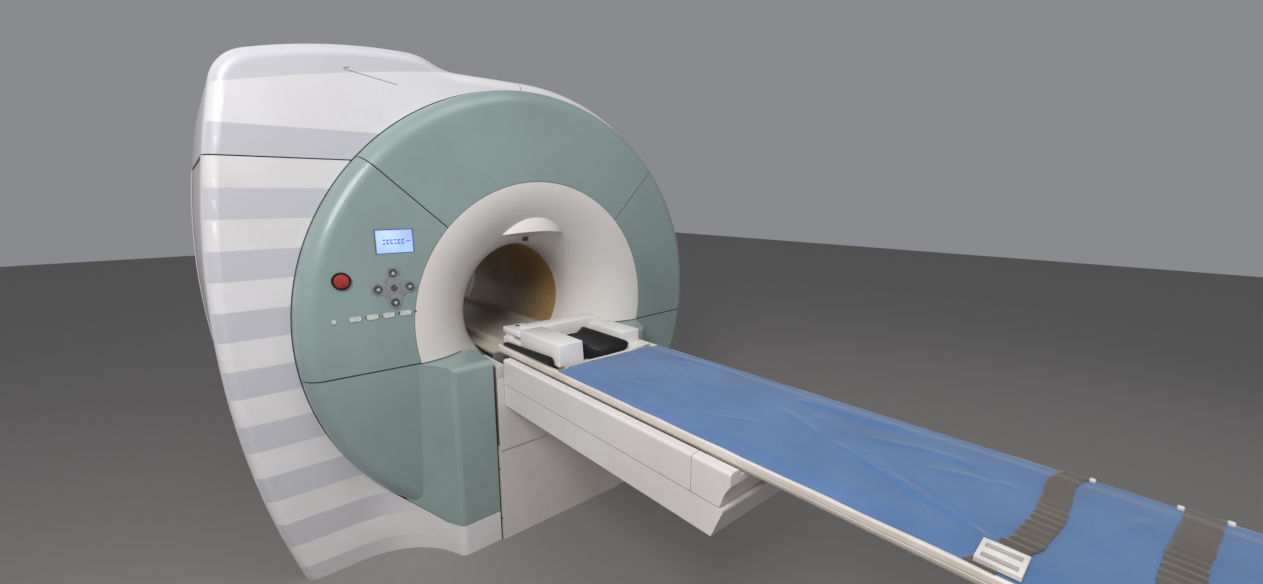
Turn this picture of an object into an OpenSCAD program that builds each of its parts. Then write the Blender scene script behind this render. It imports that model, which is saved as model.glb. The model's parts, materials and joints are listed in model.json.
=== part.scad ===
// Tunnel scanner with a patient table that slides into the tunnel and lifts.
// Millimetres, +Z up. The origin is on the floor under the middle of the tunnel; the table lies towards -Y.
// Distances called fy() are measured from the plane of the flat front panels.

/* [Housing] */
// Height of the tunnel axis above the floor
bore_h = 975; // [965:985]
// Length from the front panels to the back of the rear cover
gantry_l = 1500; // [1480:1560]
// Radius of the round right side of the housing
shell_r = 1047; // [1045:1060]
// Clear radius of the tunnel lining
bore_r = 300; // [298:302]
// Radius of the rolled edges of the covers
edge_r = 46; // [40:50]
// Wall thickness of the moulded covers
wall = 5; // [4:6]
// Open seam between neighbouring covers
seam = 4; // [3:6]
// Height of the seam in the left side and front panel
seam_z = 1645; // [1600:1680]
// Height of the level seam across the front ring
ledge_z = 842; // [836:846]
// How far the lower corner blocks stand out from the front panels
nose_out = 260; // [250:270]
// Height of the white plinth under the corner blocks
plinth_h = 139; // [120:160]

/* [Table] */
// Length of the sliding tabletop
top_l = 2450; // [2400:2500]
// Half width of the tabletop
top_w = 268; // [266:269]
// Length of the lifting beam
beam_l = 1173; // [1150:1190]
// Half width of the beam covers
beam_w = 306; // [303:310]
// How far the table lifts down
lift_travel = 300; // [280:300]
// Sideways clearance between the runner lips and the rails
runner_gap = 0.5; // [0.4:0.8]
// Radial clearance of a rod in its gland and of the wheel shaft in its bearing
run_gap = 0.05; // [0.02:0.09]

/* [Controls] */
// How far the keys stand out of the ring
key_out = 3; // [2.5:4]
// Clearance round each key
key_gap = 0.5; // [0.4:0.7]
// Travel of a key
key_travel = 2; // [1.5:2]

/* [Hidden] */
$fn = 360;

front_y = -gantry_l / 2;
rear_y = gantry_l / 2;
ring_r = shell_r - edge_r - 1;
hole_r = ring_r + 3;
rim_r = 70;
mouth_r = 300;
lip_r = bore_r + mouth_r;
lip_y = -116;
skin = 6;
mouth_out = lip_r - sqrt(pow(mouth_r - skin, 2) - pow(lip_y + mouth_r + 50, 2));
bay_w = 345;
half_seam = seam / 2;

function fy(v) = front_y + v;

// Outline of the housing seen from the front. Its arcs touch along lines of whole-number slope, so that
// neighbouring sweeps share exact planes.
flat_z = bore_h + shell_r;
side_r = 3594;
side_c = [-1222 + side_r, flat_z - 922];
side_v = [-40, 9];
corner_r = 150;
corner_c = side_c + (side_r - corner_r) / 41 * side_v;
hump_r = 1800;
hump_v = [-7, 24];
hump_c = corner_c - (hump_r - corner_r) / 25 * hump_v;
hump_z = hump_c[1] + hump_r;
crest_x = -505;
s_r = 212.5;
s_v = [8, 15];
crest_c = [crest_x, hump_z - s_r];
dip_c = crest_c + 2 * s_r / 17 * s_v;
flat_x = dip_c[0];
foot_x = 756;
top_seam_x = -15;
cold_x = -480;
foot_ang = -acos(foot_x / shell_r);

// Plan of the lower corner blocks: straight front, soft corner, slanting flank and a hollow fillet.
nose_x = 515;
flank_a = 64.2;
crease_r = 30;
nose_round = 25;
fillet_r = 340;
flank_u = [-cos(flank_a), sin(flank_a)];
flank_n = [-sin(flank_a), -cos(flank_a)];
nose_k = [-nose_x, fy(-nose_out)];
crease_t = crease_r * tan(flank_a / 2);
crease_c = nose_k + [crease_t, crease_r];
flank_m = nose_k + flank_u * (nose_out / sin(flank_a));
function fil_t(rf) = rf * tan(flank_a / 2);
function fil_c(rf) = flank_m + [-fil_t(rf), -rf];

// Lift and table heights.
rail_z = 826.2;
deck_z = 842;
rail_x = 170;
beam_y0 = -279;
beam_y1 = beam_y0 - beam_l;
plate_y = beam_y0 - wall - 1;
cap_y = beam_y1 + 111;
head_y = -140;
foot_y = head_y - top_l;
wheel_r = 57.7;
wheel_y = -400;
wheel_z = 770;
cover_z = 838;
beam_seam = 728;
trough_z = 634;
carriage_z = 735;
apron_z = carriage_z + 10 - lift_travel;
lip_x = top_w + 5;

module slab(y0, y1) {
    translate([0, y1, 0])
        rotate([90, 0, 0])
            linear_extrude(y1 - y0)
                children();
}

// Turns a profile (x radius, y along Y) about a Y axis from angle a0 to a1, measured in XZ from +X up.
module spin(a0, a1) {
    rotate([-90, 0, 0])
        rotate([0, 0, -a1])
            rotate_extrude(angle = a1 - a0)
                children();
}

module revolve() {
    translate([0, 0, bore_h])
        rotate([-90, 0, 0])
            rotate_extrude()
                children();
}

module disc_y(x, z, r, y0, y1) {
    translate([x, y0, z])
        rotate([-90, 0, 0])
            cylinder(r = r, h = y1 - y0);
}

module box(x0, x1, y0, y1, z0, z1) {
    translate([x0, y0, z0])
        cube([x1 - x0, y1 - y0, z1 - z0]);
}

module flip_x() {
    mirror([1, 0, 0])
        children();
}

// Sectors of the outline's arcs, each bounded by the lines that it shares with its neighbours.
side_sector = [side_c + 92 * side_v, side_c + 70 * side_v, [side_c[0] + 70 * side_v[0], 0], [-1400, 0], [-1400, 1500]];
corner_sector = [corner_c, corner_c + 8 * side_v, corner_c + [-320, 384], corner_c + 16 * hump_v];
hump_sector = [hump_c, hump_c + 82 * hump_v, hump_c + [0, 1968]];
crest_sector = [crest_c, crest_c + [0, 255], crest_c + 17 * s_v];
dip_sector = [dip_c - 20 * s_v, dip_c, dip_c - [0, 300]];

// Front outline moved inwards by d.
module outline(d) {
    intersection() {
        translate(side_c)
            circle(side_r - d);
        polygon(side_sector);
    }
    intersection() {
        translate(corner_c)
            circle(corner_r - d);
        polygon(corner_sector);
    }
    intersection() {
        translate(hump_c)
            circle(hump_r - d);
        polygon(hump_sector);
    }
    translate([hump_c[0], 0])
        square([crest_x - hump_c[0], hump_z - d]);
    intersection() {
        translate(crest_c)
            circle(s_r - d);
        polygon(crest_sector);
    }
    difference() {
        polygon([crest_c, dip_c, [flat_x, crest_c[1]]]);
        translate(dip_c)
            circle(s_r + d);
    }
    translate([crest_x, 0])
        square([flat_x - crest_x, crest_c[1]]);
    translate([flat_x, 0])
        square([-flat_x, flat_z - d]);
    intersection() {
        union() {
            translate([0, bore_h])
                circle(shell_r - d);
            square([foot_x - d, bore_h]);
        }
        square([1200, 2200]);
    }
}

// Section of a cover edge: x is measured outwards from the outline, y along Y.
module edge_profile(y1) {
    difference() {
        union() {
            translate([-edge_r, fy(edge_r)])
                intersection() {
                    circle(edge_r);
                    translate([0, -edge_r])
                        square([edge_r, edge_r]);
                }
            translate([-edge_r - 1, front_y])
                square([1, wall]);
            translate([-wall, fy(edge_r)])
                square([wall, y1 - fy(edge_r)]);
        }
        translate([-edge_r, fy(edge_r)])
            circle(edge_r - wall);
    }
}

module rear_profile(y0) {
    translate([0, 0])
        mirror([0, 1])
            edge_profile(-y0);
}

// Profile turned round the Y axis through c at radius r, kept inside a sector of the front view.
module arc_sweep(c, r, sector) {
    intersection() {
        translate([c[0], 0, c[1]])
            rotate([-90, 0, 0])
                rotate_extrude()
                    translate([r, 0])
                        children();
        slab(front_y - 10, rear_y + 10)
            polygon(sector);
    }
}

module side_sweep(z0, z1) {
    arc_sweep(side_c, side_r, [[-1400, z0], [-900, z0], [-900, z1], [-1400, z1]])
        children();
}

module top_left_sweep() {
    arc_sweep(side_c, side_r, [
        side_c + 92 * side_v, side_c + 80 * side_v, side_c + [80 * side_v[0], 480], [-1400, side_c[1] + 480]
    ])
        children();
    arc_sweep(corner_c, corner_r, corner_sector)
        children();
    arc_sweep(hump_c, hump_r, hump_sector)
        children();
    translate([crest_x, 0, hump_z])
        rotate([0, -90, 0])
            linear_extrude(crest_x - hump_c[0])
                children();
    arc_sweep(crest_c, s_r, crest_sector)
        children();
    arc_sweep(dip_c, s_r, dip_sector)
        mirror([1, 0])
            children();
}

module flat_sweep(x0, x1) {
    translate([x1, 0, flat_z])
        rotate([0, -90, 0])
            linear_extrude(x1 - x0)
                children();
}

module right_sweep() {
    translate([0, 0, bore_h])
        spin(foot_ang, 90)
            translate([shell_r, 0])
                children();
    translate([foot_x, 0, 0])
        linear_extrude(bore_h + shell_r * sin(foot_ang) + 4)
            children();
}

module ring_hole() {
    disc_y(0, bore_h, hole_r, fy(-300), fy(60));
}

// Plan of a corner block on the left, moved inwards by e, with hollow fillet radius rf, back to y = yb.
module nose_plan(e, rf, yb) {
    fc = fil_c(rf);
    t1 = crease_c + [0, -(crease_r - e)];
    t2 = crease_c + flank_n * (crease_r - e);
    k = crease_c + (nose_k - crease_c) * ((crease_r - e) / crease_r);
    j1 = fc - flank_n * (rf + e);
    j2 = fc + [0, rf + e];
    away = (flank_m - fc) / norm(flank_m - fc) * rf;
    difference() {
        polygon([
            [-bay_w - e, fy(90)], [-bay_w - e, nose_k[1] + e], k, j1, j2,
            j2 - [e > 0 ? 2 : 0, 0], [fc[0] - (e > 0 ? 2 : 0), fy(90)]
        ]);
        difference() {
            polygon([t1, k + (k - crease_c), t2]);
            translate(crease_c)
                circle(crease_r - e + 0.05);
        }
        intersection() {
            translate(fc)
                circle(rf + e);
            polygon([fc, j1, j1 + away, j2 + away, j2]);
        }
        translate([-1000, yb])
            square([1000, 400]);
    }
}

// Corner block inside its skin by d, with its front top edge rounded off.
module nose_block(d, rf, yb) {
    zt = ledge_z - seam - d;
    yf = nose_k[1] + d;
    rr = nose_round - d;
    difference() {
        translate([0, 0, plinth_h + half_seam + d])
            linear_extrude(zt - plinth_h - half_seam - d)
                nose_plan(d, rf, yb);
        translate([-650, yf + rr, zt - rr])
            rotate([90, 0, 90])
                linear_extrude(400)
                    difference() {
                        translate([-rr - 12, -4])
                            square([rr + 16, rr + 16]);
                        translate([4, -4])
                            circle(norm([rr + 4, 4]));
                    }
    }
}

// Section of the front ring moved inwards by d, filled back to y = 20 (30 when moved).
module dome_plan(d) {
    yb = d > 0 ? 30 : 20;
    polygon([
        [lip_r + 2 + d, fy(lip_y + d)], [ring_r - rim_r, fy(-98 + d)], [ring_r - rim_r, fy(yb)], [lip_r + 2 + d, fy(yb)]
    ]);
    translate([ring_r - rim_r, fy(-28)])
        square([rim_r - d, 28 + yb]);
    translate([ring_r - rim_r, fy(-28)])
        intersection() {
            circle(rim_r - d);
            translate([0, -rim_r])
                square([rim_r, rim_r]);
        }
}

// Open skin of the ring, with no wall on the inner edge or the back.
module ring_profile() {
    difference() {
        dome_plan(0);
        dome_plan(wall);
        translate([lip_r, fy(lip_y + wall + 3)])
            square([2 + wall + 1, 200]);
    }
}

function dome_y(r) = -98 - (ring_r - rim_r - r) * 18 / (ring_r - rim_r - lip_r - 2);
tilt = atan(18 / (ring_r - rim_r - lip_r - 2));

// Places things on the ring's surface at (x, z): local -Y is outwards.
module on_dome(x, z) {
    r = norm([x, z - bore_h]);
    a = atan2(z - bore_h, x);
    translate([x, fy(dome_y(r)), z])
        rotate([0, -a, 0])
            rotate([0, 0, tilt])
                rotate([0, a, 0])
                    children();
}

module radial_slot(a) {
    translate([0, fy(-200), bore_h])
        rotate([0, -a, 0])
            translate([400, 0, -seam / 2])
                cube([800, 400, seam]);
}

// Keys: pad group centre and offsets, and the row.
pad_c = [-665, 1163];
pad_d = 58;
row_z = 1060;
row_x = [-879, -809, -750, -692, -631];
stop_p = [-843, 1208];
lcd_p = [-648, 1342];
pad_at = [[0, pad_d], [0, -pad_d], [-pad_d, 0], [pad_d, 0], [0, 0]];
plate_t = 4;
cup_in = 9.6 + key_travel;

module key_2d(kind, grow) {
    if (kind == "pad")
        circle(15 + grow);
    if (kind == "centre")
        circle(11 + grow);
    if (kind == "dot")
        scale([1, 1])
            circle(9 + grow);
    if (kind == "row") {
        square([24 + 2 * grow, 2 * (10 + grow)], center = true);
        for (s = [-1, 1])
            translate([s * (12 + grow), 0])
                circle(10 + grow);
    }
    if (kind == "stop")
        circle(25 + grow);
}

// A key: its rim stands key_out proud and its face is slightly dished.
module key_body(kind, out) {
    difference() {
        slab(-out, 9)
            key_2d(kind, 0);
        if (kind == "pad" || kind == "centre")
            translate([0, -out - 58.6, 0])
                sphere(r = 60);
    }
}

module key_cup(kind) {
    difference() {
        slab(1, cup_in + 3)
            key_2d(kind, key_gap + 3);
        slab(0, cup_in)
            key_2d(kind, key_gap);
    }
}

module key_hole(kind) {
    slab(-20, cup_in)
        key_2d(kind, key_gap);
}

module base_frame() {
    color([0.36, 0.38, 0.40])
    difference() {
        union() {
            for (s = [-1, 1])
                box(s * 450 - 50, s * 450 + 50, -560, 560, 0, 60);
            for (y = [-380, 380])
                box(-640, 640, y - 50, y + 50, 0, 420);
            for (y = [-380, 380])
                box(-500, 500, y - 90, y + 90, 0, 30);
        }
        disc_y(0, bore_h, 930.1, -700, 700);
        for (x = [-450, 450])
            for (y = [-500, 500])
                translate([x, y, -1])
                    cylinder(r = 10, h = 80);
        for (y = [-380, 380])
            box(-330, 330, y - 60, y + 60, 31, 36);
    }
}

module vacuum_vessel() {
    color([0.82, 0.83, 0.84])
    difference() {
        revolve()
            difference() {
                translate([450, -600])
                    square([480, 1290]);
                translate([458, -588])
                    square([464, 1266]);
            }
        translate([cold_x, 0, bore_h + 700])
            cylinder(r = 101, h = 400);
    }
}

// Sealed helium tank, hollow, with rings of winding inside and short hangers to the vessel wall.
module cold_mass() {
    color([0.70, 0.71, 0.73])
    difference() {
        union() {
            revolve()
                difference() {
                    polygon([
                        [520, -520], [840, -520], [850, -510], [850, 600], [840, 610], [520, 610], [510, 600],
                        [510, -510]
                    ]);
                    difference() {
                        translate([522, -508])
                            square([316, 1106]);
                        for (y = [-440, -230, -60, 70, 240, 450])
                            translate([521, y])
                                square([80, 90]);
                    }
                }
            for (a = [45, 135, 225, 315])
                for (y = [-400, 480])
                    translate([0, y, bore_h])
                        rotate([0, -a, 0])
                            translate([845, 0, 0])
                                rotate([0, 90, 0])
                                    cylinder(r = 20, h = 76.4);
        }
        translate([cold_x, 0, bore_h + 720])
            cylinder(r = 101, h = 400);
    }
}

// Refrigerator turret that rises into the hump of the top cover.
module cold_head() {
    color([0.72, 0.73, 0.75])
    translate([cold_x, 0, 0]) {
        translate([0, 0, bore_h + 722])
            cylinder(r = 100, h = 190);
        translate([0, 0, bore_h + 912])
            cylinder(r = 130, h = 20);
        translate([0, 0, bore_h + 932])
            cylinder(r = 70, h = 110);
        translate([60, 0, bore_h + 960])
            rotate([0, 90, 0])
                cylinder(r = 22, h = 60);
    }
}

module gradient_coil() {
    color([0.75, 0.60, 0.32])
    revolve()
        difference() {
            translate([345, -560])
                square([98, 1100]);
            for (y = [-450, -250, 0, 250, 430])
                translate([441, y - 10])
                    square([4, 20]);
        }
}

// Tunnel lining with the body coil's end rings and rungs on its outer face.
module bore_liner() {
    color([0.55, 0.50, 0.40]) {
        revolve() {
            translate([bore_r, fy(251)])
                square([skin, 559 - fy(251)]);
            for (y = [-300, 260])
                translate([bore_r + skin - 1, y])
                    square([9, 40]);
        }
        for (a = [0 : 22.5 : 337.5])
            translate([0, -290, bore_h])
                rotate([0, -a, 0])
                    translate([bore_r + skin - 1, 0, -9])
                        cube([8, 580, 18]);
    }
}

// Bell mouth of the tunnel with the moulded brow over it.
module front_funnel() {
    color([0.92, 0.90, 0.88])
    difference() {
        union() {
            revolve()
                difference() {
                    union() {
                        intersection() {
                            translate([lip_r, fy(lip_y + mouth_r)])
                                circle(mouth_r);
                            translate([bore_r, fy(lip_y)])
                                square([mouth_r, mouth_r]);
                        }
                        translate([bore_r, fy(lip_y + mouth_r)])
                            square([skin, 250 - lip_y - mouth_r]);
                    }
                    translate([lip_r, fy(lip_y + mouth_r)])
                        circle(mouth_r - skin);
                }
            brow();
        }
        box(-700, 700, fy(-200), fy(-50), 0, ledge_z);
        translate([0, fy(40), bore_h + 320])
            cylinder(r = 15.3, h = 60);
        translate([0, fy(40), bore_h + 280])
            cylinder(r = 15.3, h = 60);
    }
}

module brow() {
    intersection() {
        translate([0, fy(173), bore_h + 324])
            sphere(r = 268);
        translate([0, fy(-90), bore_h + 375])
            rotate([-15, 0, 0])
                translate([-400, -100, 0])
                    cube([800, 500, 400]);
        revolve()
            difference() {
                translate([0, fy(lip_y)])
                    square([lip_r, mouth_r + 1]);
                translate([lip_r, fy(lip_y + mouth_r)])
                    circle(mouth_r - 3);
            }
        box(-400, 400, fy(-110), fy(60), bore_h, bore_h + 600);
    }
}

module position_laser() {
    color([0.42, 0.30, 0.18])
    translate([0, fy(40), bore_h + 322])
        cylinder(r = 15, h = 40);
}

module ring_cover_top() {
    color([0.59, 0.70, 0.67])
    difference() {
        translate([0, 0, bore_h])
            spin(43.5, 137)
                ring_profile();
        radial_slot(43.5);
        radial_slot(137);
    }
}

module ring_cover_left() {
    color([0.59, 0.70, 0.67])
    difference() {
        union() {
            difference() {
                translate([0, 0, bore_h])
                    spin(137, 205)
                        ring_profile();
                radial_slot(137);
            }
            for (p = pad_at)
                on_dome(pad_c[0] + p[0], pad_c[1] + p[1])
                    key_cup(p == [0, 0] ? "centre" : "pad");
            for (i = [0 : 4])
                on_dome(row_x[i], row_z)
                    key_cup(i == 0 ? "dot" : "row");
            on_dome(stop_p[0], stop_p[1])
                difference() {
                    slab(1, 22)
                        circle(30);
                    slab(0, 18)
                        circle(27);
                }
            on_dome(lcd_p[0], lcd_p[1])
                box(-75, 75, 2, 9, -51, 51);
        }
        box(-1100, 0, fy(-200), fy(100), 0, ledge_z + half_seam);
        for (p = pad_at)
            on_dome(pad_c[0] + p[0], pad_c[1] + p[1])
                key_hole(p == [0, 0] ? "centre" : "pad");
        for (i = [0 : 4])
            on_dome(row_x[i], row_z)
                key_hole(i == 0 ? "dot" : "row");
        on_dome(stop_p[0], stop_p[1])
            slab(-20, 18)
                circle(26);
        on_dome(lcd_p[0], lcd_p[1])
            box(-70.4, 70.4, -20, 4.4, -46.4, 46.4);
    }
}

module ring_cover_right() {
    color([0.59, 0.70, 0.67])
    difference() {
        translate([0, 0, bore_h])
            spin(-25, 43.5)
                ring_profile();
        radial_slot(43.5);
        box(0, 1100, fy(-200), fy(100), 0, ledge_z + half_seam);
    }
}

module nose_solid(d, rf) {
    yb = d > 0 ? fy(-40) : fy(-53);
    intersection() {
        union() {
            intersection() {
                revolve()
                    dome_plan(d);
                box(-1100, -bay_w - d, fy(-200), fy(60), plinth_h + half_seam + d, ledge_z - seam - d);
            }
            nose_block(d, rf, yb);
        }
        disc_y(0, bore_h, ring_r - d, fy(-400), fy(60));
    }
}

module nose(rf) {
    color([0.50, 0.61, 0.57])
    difference() {
        nose_solid(0, rf);
        nose_solid(wall, rf);
    }
}

module nose_left() {
    nose(fillet_r);
}

module nose_right() {
    flip_x()
        nose(fillet_r);
}

// Skin that carries the front panel forwards round the corner block, with the plinth under the block.
module plinth(rf) {
    difference() {
        linear_extrude(bore_h - 500)
            nose_plan(0, rf, fy(wall + 0.5));
        translate([0, 0, -1])
            linear_extrude(plinth_h - half_seam - wall + 1)
                nose_plan(wall, rf, fy(wall + 2));
        translate([0, 0, plinth_h - half_seam])
            linear_extrude(bore_h)
                nose_plan(wall, rf, fy(wall + 2));
        intersection() {
            ring_hole();
            box(-1200, 1200, fy(-400), fy(100), plinth_h - half_seam, 1200);
        }
        box(-bay_w - 1, 0, fy(-20), fy(100), -1, 1200);
    }
}

module side_panel_left() {
    fx = fil_c(fillet_r)[0];
    color([0.86, 0.86, 0.88]) {
        difference() {
            intersection() {
                union() {
                    slab(front_y, fy(wall))
                        outline(edge_r + 0.5);
                    side_sweep(-60, seam_z + 30)
                        edge_profile(fy(80));
                }
                union() {
                    box(-1300, fx, fy(-10), fy(100), 0, seam_z - half_seam);
                    box(fx, -500, fy(-10), fy(100), bore_h, seam_z - half_seam);
                }
            }
            ring_hole();
        }
        plinth(fillet_r);
    }
}

// Side cover set a little inside the front panel's edge, which leaves a shadow gap.
module side_cover_left() {
    color([0.84, 0.84, 0.86])
    intersection() {
        side_sweep(-60, seam_z + 30)
            translate([-wall - 6, fy(88)])
                square([wall, rear_y - 80 - half_seam - fy(88)]);
        box(-1300, -900, fy(50), rear_y, 0, seam_z - half_seam);
    }
}

module top_cover() {
    color([0.87, 0.87, 0.89])
    difference() {
        intersection() {
            union() {
                slab(front_y, fy(wall))
                    outline(edge_r + 0.5);
                top_left_sweep()
                    edge_profile(rear_y - 80 - half_seam);
                flat_sweep(flat_x, top_seam_x - half_seam)
                    edge_profile(rear_y - 80 - half_seam);
            }
            box(-1300, top_seam_x - half_seam, fy(-10), rear_y, seam_z + half_seam, 2200);
        }
        ring_hole();
    }
}

// Right shell with its own foot, which stops at the flat edge of the outline.
module right_shell() {
    x1 = foot_x - 4;
    color([0.86, 0.86, 0.88]) {
        difference() {
            union() {
                slab(front_y, fy(wall))
                    intersection() {
                        outline(edge_r + 0.5);
                        translate([top_seam_x + half_seam, bore_h])
                            square([1200, 1200]);
                    }
                flat_sweep(top_seam_x + half_seam, 0)
                    edge_profile(rear_y - 80 - half_seam);
                right_sweep()
                    edge_profile(rear_y - 80 - half_seam);
                flip_x()
                    intersection() {
                        linear_extrude(250)
                            nose_plan(0, fillet_r, fy(30));
                        box(-x1, -x1 + wall, fy(-60), fy(40), 0, 260);
                    }
            }
            ring_hole();
        }
        flip_x()
            intersection() {
                plinth(fillet_r);
                box(-x1, 0, fy(-400), fy(100), 0, 600);
            }
    }
}

module rear_cover() {
    color([0.86, 0.86, 0.88])
    intersection() {
        union() {
            difference() {
                slab(rear_y - wall, rear_y)
                    outline(edge_r + 0.5);
                disc_y(0, bore_h, bore_r + 190, rear_y - 50, rear_y + 50);
            }
            side_sweep(-60, seam_z + 1)
                rear_profile(rear_y - 80 + half_seam);
            top_left_sweep()
                rear_profile(rear_y - 80 + half_seam);
            flat_sweep(flat_x, 0)
                rear_profile(rear_y - 80 + half_seam);
            right_sweep()
                rear_profile(rear_y - 80 + half_seam);
            revolve()
                difference() {
                    intersection() {
                        translate([bore_r + 190, rear_y - 190])
                            circle(190);
                        translate([bore_r, rear_y - 190])
                            square([191, 190]);
                    }
                    translate([bore_r + 190, rear_y - 190])
                        circle(190 - wall);
                    translate([bore_r + 190.5, rear_y - 190])
                        square([10, 190 - wall]);
                }
        }
        box(-1300, 1300, 0, rear_y + 1, 0, 2200);
    }
}

module display_window() {
    color([0.55, 0.65, 0.98])
    on_dome(lcd_p[0], lcd_p[1])
        box(-70, 70, 0, 4, -46, 46);
}

module stop_collar() {
    color([0.18, 0.18, 0.18])
    on_dome(stop_p[0], stop_p[1])
        difference() {
            slab(-8, -0.1)
                circle(32);
            slab(-20, 5)
                circle(25.4);
            slab(-8.1, -5)
                circle(27.5);
        }
}

module stop_button() {
    color([0.60, 0.16, 0.15])
    on_dome(stop_p[0], stop_p[1])
        intersection() {
            slab(-20, 12)
                circle(25);
            translate([0, 62, 0])
                sphere(r = 80);
        }
}

// Raised plate that frames the pad keys.
module pad_plate() {
    color([0.63, 0.64, 0.65])
    on_dome(pad_c[0], pad_c[1])
        difference() {
            slab(-2.5, -0.1) {
                rotate(45)
                    square([92, 92], center = true);
                for (p = pad_at)
                    translate(p)
                        circle(24);
            }
            for (p = pad_at)
                translate([p[0], 0, p[1]])
                    slab(-20, 5)
                        circle((p == [0, 0] ? 11 : 15) + key_gap + 0.6);
        }
}

module pad_key(i) {
    color([0.30, 0.31, 0.33])
    on_dome(pad_c[0] + pad_at[i][0], pad_c[1] + pad_at[i][1])
        key_body(i == 4 ? "centre" : "pad", key_out + 2);
}

module row_key(i) {
    color([0.85, 0.86, 0.85])
    on_dome(row_x[i], row_z)
        key_body(i == 0 ? "dot" : "row", key_out);
}

module pad_key_up() {
    pad_key(0);
}

module pad_key_down() {
    pad_key(1);
}

module pad_key_left() {
    pad_key(2);
}

module pad_key_right() {
    pad_key(3);
}

module pad_key_centre() {
    pad_key(4);
}

module row_key_1() {
    row_key(0);
}

module row_key_2() {
    row_key(1);
}

module row_key_3() {
    row_key(2);
}

module row_key_4() {
    row_key(3);
}

module row_key_5() {
    row_key(4);
}

module dock_cover() {
    color([0.84, 0.83, 0.82])
    difference() {
        box(-bay_w + 3, bay_w - 3, fy(-50), fy(-50 + wall), 0, bore_h);
        disc_y(0, bore_h, mouth_out + 2, fy(-100), fy(0));
    }
}

// Fixed lower apron with folded sides.
module lower_apron() {
    color([0.85, 0.84, 0.85])
    difference() {
        box(-336, 336, fy(-270), fy(-250), 0, apron_z);
        box(-332, 332, fy(-266), fy(-240), -1, apron_z + 1);
    }
}

// Moving upper apron, in front of the lower one, hung from its top fold so that it clears the lower one.
module upper_apron() {
    color([0.86, 0.85, 0.86]) {
        box(-336, 336, fy(-276), fy(-272), apron_z - 15, carriage_z + 20);
        box(-250, 250, fy(-273), fy(-247), carriage_z + 16, carriage_z + 20);
    }
}

module guide_column(s) {
    color([0.88, 0.88, 0.87])
    difference() {
        box(min(s * 284, s * 324), max(s * 284, s * 324), fy(-245), fy(-60), 0, 800);
        box(min(s * 283, s * 292), max(s * 283, s * 292), fy(-170), fy(-130), 20, 780);
    }
}

module guide_column_left() {
    guide_column(-1);
}

module guide_column_right() {
    guide_column(1);
}

module lift_actuator(s) {
    color([0.30, 0.31, 0.33])
    translate([s * 165, fy(-150), 0])
        difference() {
            union() {
                translate([-60, -60, 0])
                    cube([120, 120, 20]);
                cylinder(r = 45, h = 430);
            }
            translate([0, 0, 25])
                cylinder(r = 36, h = 390);
            translate([0, 0, 400])
                cylinder(r = 30 + run_gap, h = 40);
        }
}

module lift_actuator_left() {
    lift_actuator(-1);
}

module lift_actuator_right() {
    lift_actuator(1);
}

module lift_rod(s) {
    color([0.75, 0.76, 0.78])
    translate([s * 165, fy(-150), carriage_z - lift_travel - 105])
        cylinder(r = 30, h = lift_travel + 105);
}

module lift_rod_left() {
    lift_rod(-1);
}

module lift_rod_right() {
    lift_rod(1);
}

// Carriage between the columns, with guide blocks that run in the columns' slots.
module lift_carriage() {
    color([0.45, 0.47, 0.50]) {
        box(-275, 275, fy(-246), fy(-65), carriage_z, carriage_z + 20);
        for (s = [-1, 1]) {
            box(s * 262 - 13, s * 262 + 13, fy(-240), fy(-70), apron_z - 45, carriage_z + 1);
            box(s * 281 - 10, s * 281 + 10, fy(-169.7), fy(-130.3), apron_z - 25, carriage_z);
        }
    }
}

// Table beam: deck and webs with the two running rails, necked where it passes over the aprons.
module beam_frame() {
    color([0.50, 0.52, 0.55])
    difference() {
        union() {
            box(-250, 250, fy(beam_y1 + 60), fy(-65), 788, 800);
            for (s = [-1, 1]) {
                box(s * 245 - 5, s * 245 + 5, fy(beam_y1 + 60), fy(plate_y), trough_z + wall, 789);
                box(s * 245 - 5, s * 245 + 5, fy(plate_y - 1), fy(-65), carriage_z + 20, 789);
                box(s * rail_x - 15, s * rail_x + 15, fy(cap_y + 1), fy(-65), 799, rail_z);
            }
            box(-249, 249, fy(plate_y - 8), fy(plate_y), 690, 789);
            box(-249, 249, fy(beam_y1 + 60), fy(beam_y1 + 68), 690, 789);
        }
        box(-24, 24, fy(wheel_y - wheel_r - 4), fy(wheel_y + wheel_r + 4), 780, 810);
    }
}

// Section of a beam side cover on the right: x outwards, y up.
module side_2d() {
    difference() {
        union() {
            translate([beam_w - wall, beam_seam + half_seam])
                square([wall, cover_z - 10 - beam_seam - half_seam]);
            translate([beam_w - 10, cover_z - 10])
                intersection() {
                    circle(10);
                    square([10, 10]);
                }
            translate([lip_x, cover_z - wall])
                square([beam_w - lip_x - 10, wall]);
            translate([lip_x, 800])
                square([wall, cover_z - 800]);
            translate([236, 800])
                square([lip_x + wall - 236, wall]);
        }
        translate([beam_w - 10, cover_z - 10])
            circle(10 - wall);
    }
}

module beam_side(s) {
    color([0.90, 0.89, 0.89])
    mirror([s < 0 ? 1 : 0, 0, 0]) {
        slab(fy(cap_y + 2), fy(beam_y0))
            side_2d();
        for (y = [-310, -800, -1300])
            translate([beam_w - 1, fy(y), 790])
                rotate([0, 90, 0])
                    cylinder(r = 5, h = 2);
    }
}

module beam_side_left() {
    beam_side(-1);
}

module beam_side_right() {
    beam_side(1);
}

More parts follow.
